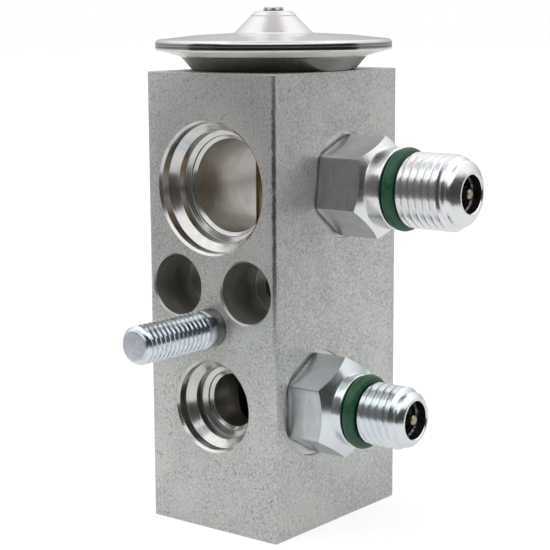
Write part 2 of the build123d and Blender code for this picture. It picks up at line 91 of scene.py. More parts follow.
# ------------------------------------------------------------------ sizes and colours
class ValveSizes(PropertyGroup):
    """Lengths of the fine forms that the solid model leaves plain."""

    edge_round: FloatProperty(
        name="Block edge", description="Width of the broken edge along the block's corners",
        default=0.42 * MM, min=0.0, unit="LENGTH")
    hexagon_round: FloatProperty(
        name="Hexagon edge", description="Width of the worn edge between two flats",
        default=0.12 * MM, min=0.0, unit="LENGTH")
    stud_pitch: FloatProperty(
        name="Stud pitch", description="Thread pitch of the mounting stud",
        default=1.0 * MM, min=0.0, unit="LENGTH")
    port_pitch: FloatProperty(
        name="Port pitch", description="Thread pitch of the two service ports",
        default=1.25 * MM, min=0.0, unit="LENGTH")
    grain_size: FloatProperty(
        name="Grain", description="Size of the speckle on the blasted block",
        default=0.36 * MM, min=0.0, unit="LENGTH")


class ValveColours(PropertyGroup):
    """Base colours of the finishes."""

    block: FloatVectorProperty(
        name="Block", description="Satin aluminium of the block",
        subtype="COLOR", size=3, default=(0.745, 0.759, 0.742))
    bore: FloatVectorProperty(
        name="Bores", description="Freshly machined aluminium inside the mouths",
        subtype="COLOR", size=3, default=(0.56, 0.54, 0.505))
    head: FloatVectorProperty(
        name="Head", description="Bright stainless sheet",
        subtype="COLOR", size=3, default=(0.82, 0.825, 0.85))
    fitting: FloatVectorProperty(
        name="Fittings", description="Bright plated service fittings",
        subtype="COLOR", size=3, default=(0.96, 0.96, 0.975))
    flats: FloatVectorProperty(
        name="Flats", description="Milled flats of the hexagons",
        subtype="COLOR", size=3, default=(0.68, 0.69, 0.695))
    stud: FloatVectorProperty(
        name="Stud", description="Bluish zinc on the stud",
        subtype="COLOR", size=3, default=(0.87, 0.94, 1.0))
    ring: FloatVectorProperty(
        name="Rings", description="Green rubber of the port rings",
        subtype="COLOR", size=3, default=(0.007, 0.058, 0.027))
    brass: FloatVectorProperty(
        name="Brass", description="Brass of the cores and the rod",
        subtype="COLOR", size=3, default=(0.62, 0.47, 0.24))
    floor: FloatVectorProperty(
        name="Floor", description="Pale floor under the valve",
        subtype="COLOR", size=3, default=(0.86, 0.86, 0.86))


# --------------------------------------------------------------------------- modelling
def rounded(*corners):
    """Points of an outline of (radius, height, round) corners, each round drawn as an arc."""
    points = []
    for index, (radius, height, *rounding) in enumerate(corners):
        here = Vector((radius, height))
        if not rounding:
            points.append(here)
            continue
        before = (Vector(corners[index - 1][:2]) - here).normalized()
        after = (Vector(corners[(index + 1) % len(corners)][:2]) - here).normalized()
        half = before.angle(after) / 2
        centre = here + (before + after).normalized() * rounding[0] / sin(half)
        start = here + before * rounding[0] / tan(half) - centre
        finish = here + after * rounding[0] / tan(half) - centre
        turn = (pi - 2 * half) * (1 if start.cross(finish) > 0 else -1)
        for step in range(ARC_STEPS + 1):
            points.append(centre + Matrix.Rotation(turn * step / ARC_STEPS, 2) @ start)
    return points


def turned(points, place=None, closed=True, steps=ROUND_STEPS):
    """Mesh turned about Z from its outline in millimetres, moved to its place."""
    mesh = bmesh.new()
    verts = [mesh.verts.new((radius * MM, 0, height * MM)) for radius, height in points]
    pairs = list(zip(verts, verts[1:]))
    if closed:
        pairs.append((verts[-1], verts[0]))
    edges = [mesh.edges.new(pair) for pair in pairs]
    bmesh.ops.spin(
        mesh, geom=verts + edges, axis=(0, 0, 1), angle=2 * pi, steps=steps, use_merge=True)
    return settled(mesh, place)


def settled(mesh, place=None):
    """The mesh with its doubles merged, its normals outwards and its place applied."""
    bmesh.ops.remove_doubles(mesh, verts=mesh.verts, dist=WELD)
    bmesh.ops.recalc_face_normals(mesh, faces=mesh.faces)
    if place:
        bmesh.ops.transform(mesh, matrix=place, verts=mesh.verts)
    return mesh


def hexagon(flats, bottom, top, edge, turn=0.0, place=None):
    """Mesh of a hexagonal bar with slightly rounded edges."""
    mesh = bmesh.new()
    bmesh.ops.create_cone(
        mesh, cap_ends=True, segments=6, radius1=flats / sqrt(3) * MM,
        radius2=flats / sqrt(3) * MM, depth=(top - bottom) * MM,
        matrix=Matrix.Translation((0, 0, (top + bottom) / 2 * MM))
        @ Matrix.Rotation(radians(turn), 4, "Z"))
    upright = [e for e in mesh.edges if abs((e.verts[0].co - e.verts[1].co).z) > MM / 2]
    if edge:
        bmesh.ops.bevel(
            mesh, geom=upright, offset=edge, offset_type="OFFSET", segments=3,
            profile=0.5, affect="EDGES", material=-1)
    return settled(mesh, place)


def thread_cutter(diameter, pitch, bottom, top, run_out, place=None):
    """Mesh that cuts a metric groove between two heights and fades out at the bottom."""
    depth = 0.55 * pitch
    proud = 0.04 * pitch
    half_root = 0.06 * pitch
    half_mouth = half_root + (depth + proud) * tan(radians(30))
    root = diameter / 2 - depth
    mouth = diameter / 2 + proud
    mesh = bmesh.new()
    corners = [(mouth, -half_mouth), (root, -half_root), (root, half_root), (mouth, half_mouth)]
    verts = [mesh.verts.new((r * MM, 0, (bottom + z) * MM)) for r, z in corners]
    face = mesh.faces.new(verts)
    turns = (top - bottom) / pitch
    steps = round(turns * FINE_STEPS)
    bmesh.ops.spin(
        mesh, geom=verts + list(face.edges) + [face], axis=(0, 0, 1),
        dvec=(0, 0, (top - bottom) / steps * MM), angle=2 * pi * turns, steps=steps)
    for vert in mesh.verts:
        left = (bottom + run_out) * MM - vert.co.z
        if run_out and left > 0:
            distance = vert.co.xy.length
            lift = 1.25 * depth * MM * left / (run_out * MM)
            vert.co.xy *= (distance + lift) / distance
    return settled(mesh, place)


def coil(mean, wire, turns, bottom, top, start=0.0, place=None):
    """Mesh of round wire wound about Z between the heights of its wire's centre."""
    mesh = bmesh.new()
    bmesh.ops.create_circle(
        mesh, cap_ends=True, segments=WIRE_STEPS, radius=wire / 2 * MM,
        matrix=Matrix.Rotation(2 * pi * start, 4, "Z")
        @ Matrix.Translation((mean / 2 * MM, 0, bottom * MM))
        @ Matrix.Rotation(pi / 2, 4, "X"))
    steps = round(turns * COIL_STEPS)
    bmesh.ops.spin(
        mesh, geom=mesh.verts[:] + mesh.edges[:] + mesh.faces[:], axis=(0, 0, 1),
        dvec=(0, 0, (top - bottom) / steps * MM), angle=2 * pi * turns, steps=steps)
    return settled(mesh, place)


def made(name, mesh, *finishes):
    """Object of that mesh in the scene, with its materials."""
    data = bpy.data.meshes.new(name)
    mesh.to_mesh(data)
    mesh.free()
    thing = bpy.data.objects.new(name, data)
    bpy.context.scene.collection.objects.link(thing)
    for finish in finishes:
        data.materials.append(finish)
    return thing


def combined(thing, others, operation):
    """The object cut by others, joined to them or kept in common, with no slivers left."""
    for other in others:
        step = thing.modifiers.new(other.name, "BOOLEAN")
        step.operation = operation
        step.solver = "MANIFOLD"
        step.material_mode = "TRANSFER"
        step.object = other
    graph = bpy.context.evaluated_depsgraph_get()
    result = bpy.data.meshes.new_from_object(thing.evaluated_get(graph))
    thing.modifiers.clear()
    before = thing.data
    thing.data = result
    bpy.data.meshes.remove(before)
    result.name = thing.name
    mesh = bmesh.new()
    mesh.from_mesh(result)
    bmesh.ops.remove_doubles(mesh, verts=mesh.verts, dist=SLIVER)
    bmesh.ops.dissolve_degenerate(mesh, edges=mesh.edges, dist=SLIVER)
    mesh.to_mesh(result)
    mesh.free()
    for other in others:
        bpy.data.objects.remove(other)
    return thing


def finished(thing, slot, *nodes):
    """Smooths the object and hides the solids it stands for."""
    thing.data.shade_smooth()
    thing.data.set_sharp_from_angle(angle=SHARP_ANGLE)
    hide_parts(*nodes)
    return thing


def placed(thing, body, slot, *nodes):
    """The finished object fixed to its body."""
    finished(thing, slot, *nodes)
    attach(thing, body)
    return thing


def stretched(thing, slot, node):
    """The finished spring, with its place baked into its mesh."""
    finished(thing, slot, node)
    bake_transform(thing)
    return thing


def into_front(height, x=0.0):
    """Place on the line side: local Z runs into the block."""
    return Matrix((
        (1, 0, 0, x * MM), (0, 0, 1, FRONT * MM), (0, -1, 0, height * MM), (0, 0, 0, 1)))


def into_rear(height):
    """Place on the evaporator side: local Z runs into the block."""
    return Matrix((
        (-1, 0, 0, 0), (0, 0, -1, -FRONT * MM), (0, -1, 0, height * MM), (0, 0, 0, 1)))


def out_of_side(y, height):
    """Place on the service side: local Z runs away from the block."""
    return Matrix((
        (0, 0, 1, SIDE * MM), (1, 0, 0, y * MM), (0, 1, 0, height * MM), (0, 0, 0, 1)))


def middle(node):
    """Centre of a node's box in millimetres."""
    low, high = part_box(node)
    return (low + high) / 2 / MM


# --------------------------------------------------------------------------- materials
def colours():
    return bpy.context.scene.valve_colours


def sizes():
    return bpy.context.scene.valve_sizes


def added(tree, kind, *values):
    """New shader node whose first sockets hold the values or are fed by the sockets given."""
    node = tree.nodes.new("ShaderNode" + kind)
    for socket, value in zip(node.inputs, values):
        if isinstance(value, bpy.types.NodeSocket):
            tree.links.new(value, socket)
        else:
            socket.default_value = value
    return node


class Finish:
    """A new material on object coordinates, with short ways to add its nodes."""

    def __init__(self, name, colour, metallic, roughness):
        """The colour is a triple or the name of one of the valve's colours."""
        if isinstance(colour, str):
            colour = getattr(colours(), colour)
        self.material = bpy.data.materials.new(name)
        self.material.use_nodes = True
        self.tree = self.material.node_tree
        self.shader = self.tree.nodes["Principled BSDF"]
        self.shader.inputs["Base Color"].default_value = (*colour, 1)
        self.shader.inputs["Metallic"].default_value = metallic
        self.shader.inputs["Roughness"].default_value = roughness
        self.colour = colour
        self.place = self.add("TexCoord").outputs["Object"]

    def add(self, kind, *values):
        return added(self.tree, kind, *values)

    def join(self, source, target):
        self.tree.links.new(source, target)

    def stretched(self, x=1.0, y=1.0, z=1.0):
        """Object coordinates stretched along each axis."""
        mapping = self.add("Mapping", self.place)
        mapping.inputs["Scale"].default_value = (x, y, z)
        return mapping.outputs["Vector"]

    def noise(self, size, detail=2.0, roughness=0.5, where=None):
        """Noise whose lumps have that size in metres."""
        noise = self.add("TexNoise", where or self.place)
        noise.inputs["Scale"].default_value = 1 / size
        noise.inputs["Detail"].default_value = detail
        noise.inputs["Roughness"].default_value = roughness
        return noise.outputs["Fac"]

    def ramp(self, value, low, high, dark=0.0, light=1.0):
        """The value stretched from between low and high to between dark and light."""
        return self.add("MapRange", value, low, high, dark, light).outputs["Result"]

    def math(self, operation, first, second):
        node = self.add("Math", first, second)
        node.operation = operation
        return node.outputs[0]

    def mix(self, factor, first, second, blend="MIX"):
        """One colour turning into another by the factor."""
        node = self.add("Mix", factor)
        node.data_type = "RGBA"
        node.blend_type = blend
        for socket, value in zip((node.inputs[6], node.inputs[7]), (first, second)):
            if isinstance(value, tuple):
                socket.default_value = (*value, 1)
            else:
                self.join(value, socket)
        return node.outputs[2]

    def shade(self, factor, share):
        """The finish's own colour, darkened by the share where the factor is 1."""
        return self.mix(factor, tuple(self.colour), tuple(c * share for c in self.colour))

    def tinted(self, tint):
        """The finish's own colour times the tint, channel by channel."""
        return tuple(c * t for c, t in zip(self.colour, tint))

    def paint(self, colour):
        self.join(colour, self.shader.inputs["Base Color"])

    def metal(self, value):
        self.join(value, self.shader.inputs["Metallic"])

    def roughen(self, value):
        self.join(value, self.shader.inputs["Roughness"])

    def bump(self, height, depth, strength=1.0):
        node = self.add("Bump")
        node.inputs["Strength"].default_value = strength
        node.inputs["Distance"].default_value = depth
        self.join(height, node.inputs["Height"])
        self.join(node.outputs["Normal"], self.shader.inputs["Normal"])

    def above(self, coordinate, start, end):
        """0 up to the start and 1 from the end, both in millimetres."""
        return self.ramp(coordinate, start * MM, end * MM)

    def below(self, coordinate, start, end):
        """1 up to the start and 0 from the end, both in millimetres."""
        return self.ramp(coordinate, start * MM, end * MM, 1.0, 0.0)

    def axes(self):
        """The three object coordinates as values."""
        return self.add("SeparateXYZ", self.place).outputs


def satin_block(name):
    """Blasted extrusion: fine speckle, faint warm and green clouds, shiny smudged edges."""
    finish = Finish(name, "block", 0.8, 0.42)
    grain = sizes().grain_size
    speckle = finish.noise(grain, 3.0, 0.6)
    clouds = finish.noise(26 * grain, 2.0, 0.5)
    pits = finish.noise(1.3 * grain, 1.0, 0.4)
    colour = finish.shade(finish.ramp(speckle, 0.36, 0.66, 1.0, 0.0), 0.6)
    warm = finish.tinted((1.03, 0.975, 0.975))
    green = finish.tinted((0.98, 1.01, 0.985))
    colour = finish.mix(finish.ramp(clouds, 0.46, 0.74, 0.0, 0.6), colour, warm)
    colour = finish.mix(finish.ramp(clouds, 0.28, 0.52, 0.5, 0.0), colour, green)
    colour = finish.mix(finish.ramp(pits, 0.66, 0.72, 0.0, 0.45), colour, (0.16, 0.16, 0.15))
    x, y = finish.axes()[:2]
    out = finish.math("ADD", finish.math("ABSOLUTE", x, 0.0), finish.math("ABSOLUTE", y, 0.0))
    smudge = finish.ramp(finish.noise(5 * grain, 3.0), 0.3, 0.7, -0.14 * MM, 0.14 * MM)
    corner = (SIDE - FRONT) * MM - sizes().edge_round
    edge = finish.ramp(
        finish.math("ADD", out, smudge), corner - 0.12 * MM, corner + 0.08 * MM)
    finish.paint(colour)
    finish.metal(finish.ramp(edge, 0.0, 1.0, 0.8, 1.0))
    rough = finish.ramp(speckle, 0.3, 0.7, 0.48, 0.36)
    finish.roughen(finish.math("SUBTRACT", rough, finish.math("MULTIPLY", edge, 0.14)))
    finish.bump(speckle, 0.012 * MM, 0.8)
    return finish.material


def cut_metal(name, colour, metallic, roughness):
    """Cut aluminium with fine tool marks that run round the bores on the line side."""
    finish = Finish(name, colour, metallic, roughness)
    rings = finish.noise(0.12 * MM, 1.0, 0.5, finish.stretched(0.02, 1.0, 0.02))
    stains = finish.noise(3.2 * MM, 2.0)
    finish.paint(finish.shade(finish.ramp(stains, 0.4, 0.75), 0.78))
    finish.roughen(finish.ramp(rings, 0.3, 0.7, roughness - 0.05, roughness + 0.07))
    finish.bump(rings, 0.004 * MM, 0.6)
    return finish.material


# Heights of the head's bands: painted shade on the cup's side, painted light under the rim, a
# band of painted shade across the rim's seam, and the rougher cone.
SHADED_WALL_END = (TOP + 2.0, TOP + 2.3)
UNDERSIDE_LIGHT_START = (TOP + 2.2, TOP + 2.4)
UNDERSIDE_LIGHT_END = (TOP + 3.1, TOP + 3.25)
SEAM_SHADE_START = (TOP + 3.4, TOP + 3.55)
SEAM_SHADE_END = (TOP + 4.2, TOP + 4.5)
CONE_START = (TOP + 5.2, TOP + 6.4)


def bright_head(name):
    """Pressed sheet with faint spinning lines; the cup's side is rougher and painted dark as
    shade, a band of painted shade lies across the rim's seam, and painted light lies under the
    rim.
    """
    finish = Finish(name, "head", 1.0, 0.16)
    x, y, z = finish.axes()
    spread = finish.math("ADD", finish.math("MULTIPLY", x, x), finish.math("MULTIPLY", y, y))
    radius = finish.math("SQRT", spread, 0.0)
    where = finish.add("CombineXYZ", radius, 0.0, z)
    lines = finish.noise(0.22 * MM, 2.0, 0.5, where.outputs["Vector"])
    haze = finish.noise(4.0 * MM, 3.0)
    shaded_dull_wall = finish.below(z, *SHADED_WALL_END)
    cone = finish.above(z, *CONE_START)
    colour = finish.shade(finish.ramp(haze, 0.42, 0.7), 0.86)
    colour = finish.mix(cone, colour, (0.8, 0.8, 0.81))
    # Painted shade: the cup's side is darkened to stand for the shade under the rim.
    colour = finish.mix(shaded_dull_wall, colour, (0.22, 0.215, 0.205))
    # Painted shade: a dark band across the rim and its seam.
    painted_seam_shade = finish.math(
        "MULTIPLY", finish.above(z, *SEAM_SHADE_START), finish.below(z, *SEAM_SHADE_END))
    colour = finish.mix(painted_seam_shade, colour, (0.27, 0.25, 0.24))
    # Painted light: the lower face of the rim is painted cream and made less metallic so it looks
    # lit.
    painted_underside_light = finish.math(
        "MULTIPLY", finish.above(z, *UNDERSIDE_LIGHT_START), finish.below(z, *UNDERSIDE_LIGHT_END))
    finish.paint(finish.mix(painted_underside_light, colour, (0.95, 0.92, 0.84)))
    finish.metal(finish.ramp(painted_underside_light, 0.0, 1.0, 1.0, 0.25))
    rough = finish.ramp(haze, 0.3, 0.75, 0.12, 0.2)
    rough = finish.math("ADD", rough, finish.math("MULTIPLY", shaded_dull_wall, 0.13))
    finish.roughen(finish.math("ADD", rough, finish.math("MULTIPLY", cone, 0.14)))
    finish.bump(lines, 0.004 * MM, 0.4)
    return finish.material


FITTINGS_PART = (32, 36)
SHANK_START = (FRONT - 2.5, FRONT - 1.9)
TIP_START = (FRONT - 17.3, FRONT - 17.5)
# Painted shade on the hexagon flats runs out to here from the block.
FOOT_SHADE_END = (SIDE - 0.42, SIDE + 0.1)


def cooled(finish, colour, tint=(0.93, 0.98, 1.0)):
    """The colour, turned bluish on the lower fitting."""
    low = finish.below(finish.axes()["Z"], *FITTINGS_PART)
    return finish.mix(low, colour, finish.mix(1.0, colour, tint, "MULTIPLY"))


def plated(name):
    """Bright plating with faint rainbow patches, as on passivated zinc."""
    finish = Finish(name, "fitting", 1.0, 0.2)
    tint = finish.noise(1.9 * MM, 2.0)
    speck = finish.noise(0.3 * MM, 2.0)
    pink = finish.tinted((1.01, 0.97, 1.01))
    green = finish.tinted((0.96, 1.01, 0.99))
    colour = finish.mix(finish.ramp(tint, 0.38, 0.5), green, tuple(finish.colour))
    colour = finish.mix(finish.ramp(tint, 0.52, 0.66), colour, pink)
    finish.paint(cooled(finish, colour))
    finish.roughen(finish.ramp(speck, 0.3, 0.7, 0.15, 0.26))
    finish.bump(speck, 0.003 * MM, 0.5)
    return finish.material


def brushed_flats(name):
    """Milled hexagon flats, duller than the turned surfaces, with painted shade where they meet
    the block.
    """
    finish = Finish(name, "flats", 1.0, 0.3)
    marks = finish.noise(0.5 * MM, 3.0, 0.5, finish.stretched(1.0, 0.25, 0.25))
    haze = finish.noise(2.5 * MM, 2.0)
    # Painted shade: near-black at the root of the hexagon, next to the block.
    painted_foot_shade = finish.below(finish.axes()["X"], *FOOT_SHADE_END)
    colour = finish.shade(finish.ramp(haze, 0.4, 0.7), 0.9)
    colour = cooled(finish, colour, (1.01, 1.06, 1.09))
    finish.paint(finish.mix(painted_foot_shade, colour, (0.05, 0.05, 0.052)))
    finish.roughen(finish.ramp(marks, 0.3, 0.7, 0.26, 0.37))
    finish.bump(marks, 0.003 * MM, 0.4)
    return finish.material


def zinc_stud(name):
    """Bluish zinc with lightly clouded shine, darker on the plain shank, dull at the tip."""
    finish = Finish(name, "stud", 1.0, 0.2)
    clouds = finish.noise(0.9 * MM, 2.0)
    y = finish.axes()["Y"]
    shank = finish.above(y, *SHANK_START)
    tip = finish.above(y, *TIP_START)
    colour = finish.shade(finish.ramp(clouds, 0.4, 0.7), 0.84)
    finish.paint(finish.mix(shank, colour, (0.25, 0.258, 0.262)))
    rough = finish.ramp(clouds, 0.3, 0.7, 0.13, 0.24)
    finish.roughen(finish.math("ADD", rough, finish.math("MULTIPLY", tip, 0.3)))
    finish.bump(clouds, 0.006 * MM, 0.4)
    return finish.material


def rubber(name, colour, roughness):
    """Moulded rubber with a soft bloom on it."""
    finish = Finish(name, colour, 0.0, roughness)
    bloom = finish.noise(0.7 * MM, 2.0)
    grain = finish.noise(0.12 * MM, 2.0)
    lifted = tuple(min(1.0, 1.35 * c + 0.006) for c in finish.colour)
    finish.paint(finish.mix(finish.ramp(bloom, 0.45, 0.75), tuple(finish.colour), lifted))
    finish.roughen(finish.ramp(bloom, 0.3, 0.7, roughness - 0.06, roughness + 0.08))
    finish.bump(grain, 0.004 * MM, 0.4)
    return finish.material


def turned_metal(name, colour, roughness):
    """Plain turned metal with fine marks and faint stains."""
    finish = Finish(name, colour, 1.0, roughness)
    marks = finish.noise(0.1 * MM, 2.0, 0.5)
    stains = finish.noise(1.6 * MM, 2.0)
    finish.paint(finish.shade(finish.ramp(stains, 0.4, 0.72), 0.8))
    finish.roughen(finish.ramp(marks, 0.3, 0.7, roughness - 0.05, roughness + 0.07))
    finish.bump(marks, 0.003 * MM, 0.4)
    return finish.material


def worn_bore(name):
    """Dull plating inside the bores of the fittings, painted dark as shade."""
    # Painted shade: the bore's colour is darkened to stand for the shade inside it.
    finish = Finish(name, (0.2, 0.19, 0.2), 1.0, 0.34)
    stains = finish.noise(0.6 * MM, 2.0)
    finish.paint(finish.shade(finish.ramp(stains, 0.42, 0.62), 0.3))
    finish.roughen(finish.ramp(stains, 0.3, 0.7, 0.28, 0.44))
    finish.bump(stains, 0.006 * MM, 0.5)
    return finish.material


FINISHES = {
    "satin_aluminium": (satin_block,),
    "machined_aluminium": (cut_metal, (0.77, 0.765, 0.745), 0.97, 0.18),
    "reamed_aluminium": (cut_metal, "bore", 0.93, 0.3),
    "drilled_aluminium": (cut_metal, (0.47, 0.465, 0.44), 0.82, 0.3),
    "faced_aluminium": (cut_metal, (0.84, 0.83, 0.8), 0.7, 0.32),
    "spun_stainless": (bright_head,),
    "plated_fitting": (plated,),
    "brushed_flats": (brushed_flats,),
    "blue_zinc": (zinc_stud,),
    # Painted shade inside the bores of the fittings.
    "worn_bore": (worn_bore,),
    "turned_brass": (turned_metal, "brass", 0.3),
    "worn_brass": (turned_metal, (0.5, 0.44, 0.31), 0.3),
    # Painted shade: the core shells deep in the ports are darkened almost to black.
    "aged_brass": (turned_metal, (0.1, 0.09, 0.078), 0.42),
    "turned_stainless": (turned_metal, (0.58, 0.57, 0.56), 0.3),
    "spring_wire": (turned_metal, (0.42, 0.42, 0.43), 0.32),
    "ring_rubber": (rubber, "ring", 0.36),
    "seal_rubber": (rubber, (0.02, 0.02, 0.021), 0.45),
    "pale_gasket": (rubber, (0.72, 0.7, 0.64), 0.5),
}


def found(name):
    """The material of that name, made on its first use."""
    make, *values = FINISHES[name]
    return bpy.data.materials.get(name) or make(name, *values)


# -------------------------------------------------------------------------------- block
SUCTION_HEIGHT = 54.75
SUCTION_SEAL = 8.85
SUCTION_BORE = 7.4
INLET_HEIGHT = 20.15
INLET_BORE = 4.3
OUTLET_HEIGHT = 29.8
OUTLET_BORE = 3.6
OUTLET_PAST = 2.9
LIQUID_SEAL = 5.8
SCREW_HEIGHT = 39.0
SCREW_ASIDE = 6.95
STUD_HEIGHT = 32.9
UPPER_DRILLING = 7.85
LOWER_DRILLING = 10.95
PASSAGE_START = 5.0
BEAD_STEP = 1.3
LEDGE_STEP = 0.6


def mouth_outline(seal, bore):
    """Stepped mouth of a pipe connection, from its seal radius and passage radius."""
    bead = seal + BEAD_STEP
    ledge = bore + LEDGE_STEP
    return rounded(
        (0, -1),
        (bead + 1.38, -1),
        (bead, 0.38, 0.06),
        (bead, 1.85, 0.12),
        (seal, 2.95, 0.25),
        (seal, 4.45, 0.1),
        (ledge, 4.8, 0.08),
        (ledge, 5.15, 0.06),
        (bore - 0.02, 5.5),
        (0, 5.5),
    )


def passage_outline(bore, end):
    return [(0, PASSAGE_START), (bore, PASSAGE_START), (bore, end), (0, end)]


def screw_hole_outline():
    """Counterbored clamp hole that goes right through."""
    return rounded(
        (0, -1),
        (6.07, -1),
        (4.8, 0.27, 0.03),
        (4.8, 8.5, 0.15),
        (2.9, 8.5, 0.12),
        (2.9, DEPTH + 1),
        (0, DEPTH + 1),
    )


def stud_hole_outline():
    return [(0, -1), (3.04, -1), (3.04, 8.6), (0, 8.6)]


def spot_face_outline(end):
    """Spot face, seal chamfer and cross drilling under a fitting."""
    return rounded(
        (0, 1),
        (8.6, 1),
        (8.5, 0, 0.1),
        (8.45, -0.6, 0.1),
        (6.63, -0.6, 0.1),
        (4.54, -2.69),
        (4.54, -4.4),
        (1.6, -4.4),
        (1.6, -end),
        (0, -end),
    )


def axis_outline():
    """Everything bored along the valve axis."""
    return [
        (0, -1), (7.0, -1), (7.0, 7.2), (6.2, 8.0), (6.2, 24.6), (2.6, 24.6), (1.9, 25.3),
        (1.9, 29.8), (1.25, 29.8), (1.25, 40.0), (3.05, 40.0), (3.05, 54.75), (4.0, 54.75),
        (4.0, 66.5), (10.0, 66.5), (10.0, 70.93), (11.57, 70.93), (11.57, 73.5), (0, 73.5),
    ]


class VALVE_OT_block(Operator):
    """Build the block with its mouths, screw holes and spot faces"""

    bl_idname = "valve.block"
    bl_label = "Block"

    def execute(self, context):
        skin = found("satin_aluminium")
        bored = found("machined_aluminium")
        reamed = found("reamed_aluminium")
        drilled = found("drilled_aluminium")
        faced = found("faced_aluminium")
        mesh = bmesh.new()
        size = (BLOCK_HIGH - BLOCK_LOW) * MM
        centre = (BLOCK_HIGH + BLOCK_LOW) / 2 * MM
        bmesh.ops.create_cube(
            mesh, size=1, matrix=Matrix.Translation(centre) @ Matrix.Diagonal((*size, 1)))
        upright = [e for e in mesh.edges if abs((e.verts[0].co - e.verts[1].co).z) > MM]
        bmesh.ops.bevel(
            mesh, geom=upright, offset=sizes().edge_round, offset_type="OFFSET", segments=3,
            profile=0.5, affect="EDGES", material=-1)
        level = [e for e in mesh.edges
                 if e.calc_length() > 0 and e.calc_face_angle(0) > radians(80)]
        bmesh.ops.bevel(
            mesh, geom=level, offset=sizes().edge_round / 2, offset_type="OFFSET", segments=2,
            profile=0.5, affect="EDGES", material=-1)
        block = made("block", settled(mesh), skin)
        places = [
            (mouth_outline(SUCTION_SEAL, SUCTION_BORE), into_front(SUCTION_HEIGHT), bored),
            (mouth_outline(SUCTION_SEAL, SUCTION_BORE), into_rear(SUCTION_HEIGHT), bored),
            (passage_outline(SUCTION_BORE, DEPTH - PASSAGE_START),
             into_front(SUCTION_HEIGHT), reamed),
            (mouth_outline(LIQUID_SEAL, INLET_BORE), into_front(INLET_HEIGHT), bored),
            (passage_outline(INLET_BORE, DEPTH / 2), into_front(INLET_HEIGHT), reamed),
            (mouth_outline(LIQUID_SEAL, OUTLET_BORE), into_rear(OUTLET_HEIGHT), bored),
            (passage_outline(OUTLET_BORE, DEPTH / 2 + OUTLET_PAST),
             into_rear(OUTLET_HEIGHT), reamed),
            (screw_hole_outline(), into_front(SCREW_HEIGHT, -SCREW_ASIDE), drilled),
            (screw_hole_outline(), into_front(SCREW_HEIGHT, SCREW_ASIDE), drilled),
            (stud_hole_outline(), into_front(STUD_HEIGHT), drilled),
            (spot_face_outline(UPPER_DRILLING),
             out_of_side(*middle("upper_port_ring").yz), faced),
            (spot_face_outline(LOWER_DRILLING),
             out_of_side(*middle("lower_port_ring").yz), faced),
            (axis_outline(), None, drilled),
        ]
        cutters = [
            made(f"cutter_{index}", turned(outline, place, closed=False), finish)
            for index, (outline, place, finish) in enumerate(places)
        ]
        combined(block, cutters, "DIFFERENCE")
        placed(block, "valve_body", "block_aluminium", "valve_block")
        return {"FINISHED"}


# --------------------------------------------------------------------------------- stud
class VALVE_OT_stud(Operator):
    """Build the mounting stud with its thread"""

    bl_idname = "valve.stud"
    bl_label = "Mounting stud"

    def execute(self, context):
        finish = found("blue_zinc")
        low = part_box("mounting_stud")[0]
        reach = FRONT - low.y / MM
        place = into_front(middle("mounting_stud").z)
        body = rounded(
            (0, -reach),
            (2.25, -reach, 0.25),
            (3.0, -reach + 0.75, 0.3),
            (3.0, 8.0),
            (0, 8.0),
        )
        stud = made("stud", turned(body, place, closed=False), finish)
        pitch = sizes().stud_pitch / MM
        flip = place @ Matrix.Rotation(pi, 4, "X")
        cutter = thread_cutter(6.0, pitch, 2.2, reach + pitch, 0.9, flip)
        combined(stud, [made("cutter", cutter, finish)], "DIFFERENCE")
        placed(stud, "valve_body", "zinc_steel", "mounting_stud")
        return {"FINISHED"}


# --------------------------------------------------------------------------------- head
class VALVE_OT_head(Operator):
    """Build the two pressings of the power head"""

    bl_idname = "valve.head"
    bl_label = "Power head"

    def execute(self, context):
        finish = found("spun_stainless")
        rim = 18.9
        sheet = 0.8
        low = TOP + 3.12
        cup = rounded(
            (10.02, TOP),
            (13.05, TOP, 0.8),
            (14.9, TOP + 2.15, 0.5),
            (rim - 0.7, low - 0.02, 0.3),
            (rim, low, 0.4),
            (rim, low + sheet, 0.03),
            (rim - 1.9, low + sheet),
            (14.46, TOP + 2.95),
            (12.61, TOP + sheet, 0.3),
            (10.02, TOP + sheet),
        )
        thing = made("head_lower_shell", turned(cup), finish)
        placed(thing, "valve_body", "polished_stainless", "head_cup")
        seam = low + sheet + 0.12
        edge = seam + sheet
        cap = rounded(
            (rim, seam, 0.03),
            (rim, edge, 0.66),
            (rim - 0.95, edge + 0.03, 0.5),
            (12.6, edge + 0.62, 6.0),
            (6.3, edge + 0.95, 0.8),
            (3.76, edge + 3.55, 0.1),
            (3.66, edge + 3.6, 0.03),
            (3.66, edge + 3.68, 0.03),
            (3.58, edge + 3.8, 0.3),
            (2.95, edge + 4.33, 0.3),
            (2.5, edge + 4.4, 0.3),
            (1.12, edge + 4.4),
            (1.12, edge + 3.6),
            (1.8, edge + 3.6),
            (5.2, edge + 0.79),
            (12.6, edge - 0.12),
            (rim - 1.9, seam),
        )
        thing = made("head_upper_shell", turned(cap), finish)
        placed(thing, "valve_body", "polished_stainless", "head_cap")
        return {"FINISHED"}


CRIMPS = 7
CRIMP_DEPTH = 0.5


